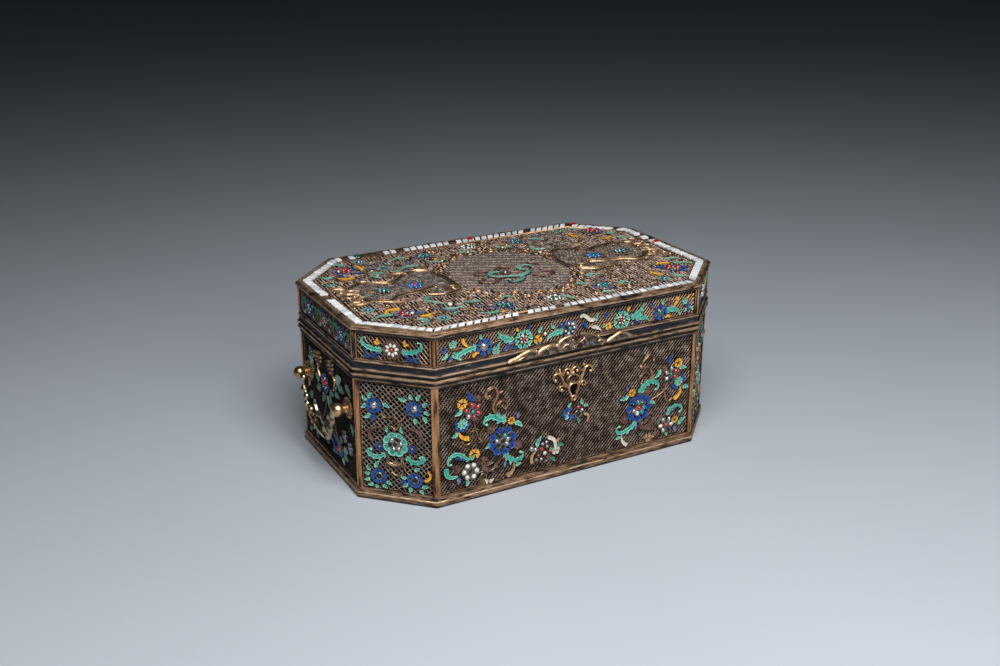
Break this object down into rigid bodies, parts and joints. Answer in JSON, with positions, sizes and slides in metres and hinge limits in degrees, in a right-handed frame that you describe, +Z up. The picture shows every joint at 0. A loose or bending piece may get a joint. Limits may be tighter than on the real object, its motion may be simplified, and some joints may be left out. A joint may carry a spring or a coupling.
{
  "type": "casket",
  "caption": "Octagonal silver filigree casket with a hinged lid, raised enamel flowers, a white stone border, a keyhole plate and two bail handles.",
  "frame": {"origin": "middle of the flat underside of the base, on the surface the casket stands on", "axes": "+X along the length to the viewer's right when the keyhole faces the viewer, the keyhole side faces -Y, +Z up"},
  "size_m": [0.2784, 0.1714, 0.1126],
  "materials": {
    "gilt_silver": "worn gilding over silver, dark in the grooves",
    "filigree_silver": "oxidised silver filigree with enamelled flowers",
    "white_stone": "polished pale stones with dark joints",
    "handle_silver": "cast silver gilt, worn bright",
    "ball_gilt": "polished gilding"
  },
  "bodies": {
    "body": {"body_panel_back": "filigree_silver", "body_panel_back_left": "filigree_silver", "body_panel_back_right": "filigree_silver", "body_panel_front": "filigree_silver", "body_panel_front_left": "filigree_silver", "body_panel_front_right": "filigree_silver", "body_panel_left": "filigree_silver", "body_panel_right": "filigree_silver", "body_shell": "gilt_silver", "escutcheon": "gilt_silver", "hinge_leaf_body_left": "gilt_silver", "hinge_leaf_body_right": "gilt_silver", "hinge_pin_left": "handle_silver", "hinge_pin_right": "handle_silver", "knob_left_back": "ball_gilt", "knob_left_front": "ball_gilt", "knob_right_back": "ball_gilt", "knob_right_front": "ball_gilt"},
    "lid": {"hinge_leaf_lid_left": "gilt_silver", "hinge_leaf_lid_right": "gilt_silver", "lid_panel_back": "filigree_silver", "lid_panel_back_left": "filigree_silver", "lid_panel_back_right": "filigree_silver", "lid_panel_front": "filigree_silver", "lid_panel_front_left": "filigree_silver", "lid_panel_front_right": "filigree_silver", "lid_panel_left": "filigree_silver", "lid_panel_right": "filigree_silver", "lid_shell": "gilt_silver", "lid_top_field": "filigree_silver", "stone_border": "white_stone", "thumb_piece": "gilt_silver"},
    "handle_left": {"handle_left": "handle_silver"},
    "handle_right": {"handle_right": "handle_silver"}
  },
  "joints": [
    {"name": "lid_hinge", "type": "hinge", "parent": "body", "child": "lid", "pos_m": [0, 0.0848, 0.08215], "axis": [-1, 0, 0], "range_deg": [0, 100]},
    {"name": "handle_left_swing", "type": "hinge", "parent": "body", "child": "handle_left", "pos_m": [-0.135, 0, 0.0538], "axis": [0, 1, 0], "range_deg": [-5, 150]},
    {"name": "handle_right_swing", "type": "hinge", "parent": "body", "child": "handle_right", "pos_m": [0.135, 0, 0.0538], "axis": [0, -1, 0], "range_deg": [-5, 150]}
  ]
}
